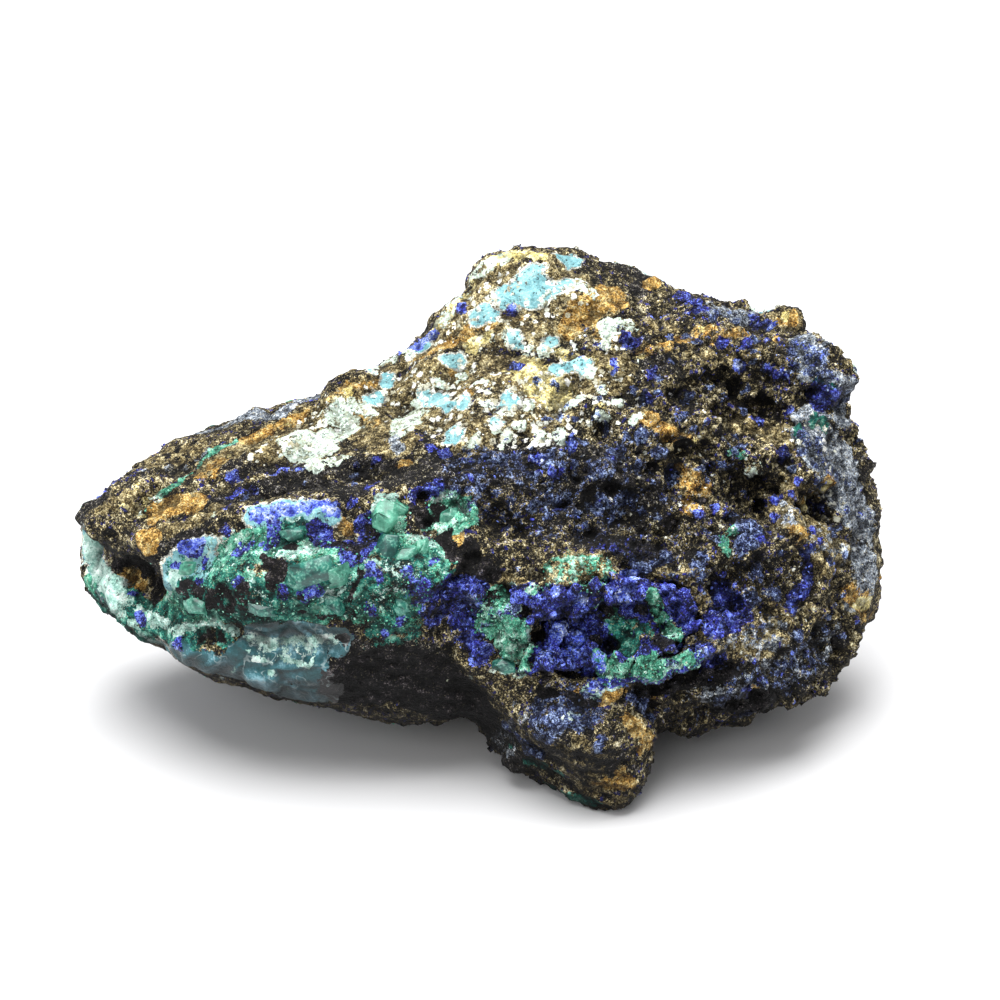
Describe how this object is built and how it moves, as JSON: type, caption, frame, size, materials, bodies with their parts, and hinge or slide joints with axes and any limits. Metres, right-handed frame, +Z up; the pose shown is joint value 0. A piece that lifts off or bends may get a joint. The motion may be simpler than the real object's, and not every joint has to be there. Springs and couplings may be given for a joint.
{
  "type": "azurite specimen",
  "caption": "Loose lump of iron-stained rock, pointed at one end and peaked at the other, with a crystal crust in its front pocket; rests on its own underside.",
  "frame": {"origin": "centre of the specimen's bounding box at the surface it rests on", "axes": "+Z up, +X along the lump towards its thick end, -Y towards the side with the crystal pocket"},
  "size_m": [0.122, 0.0748, 0.0651],
  "materials": {
    "gossan": "rough iron-stained rock, mottled with blue, green and white copper minerals",
    "azurite": "glassy deep blue crystal faces"
  },
  "bodies": {
    "root": {"matrix_rock": "gossan", "azurite_crust": "azurite"}
  },
  "joints": []
}
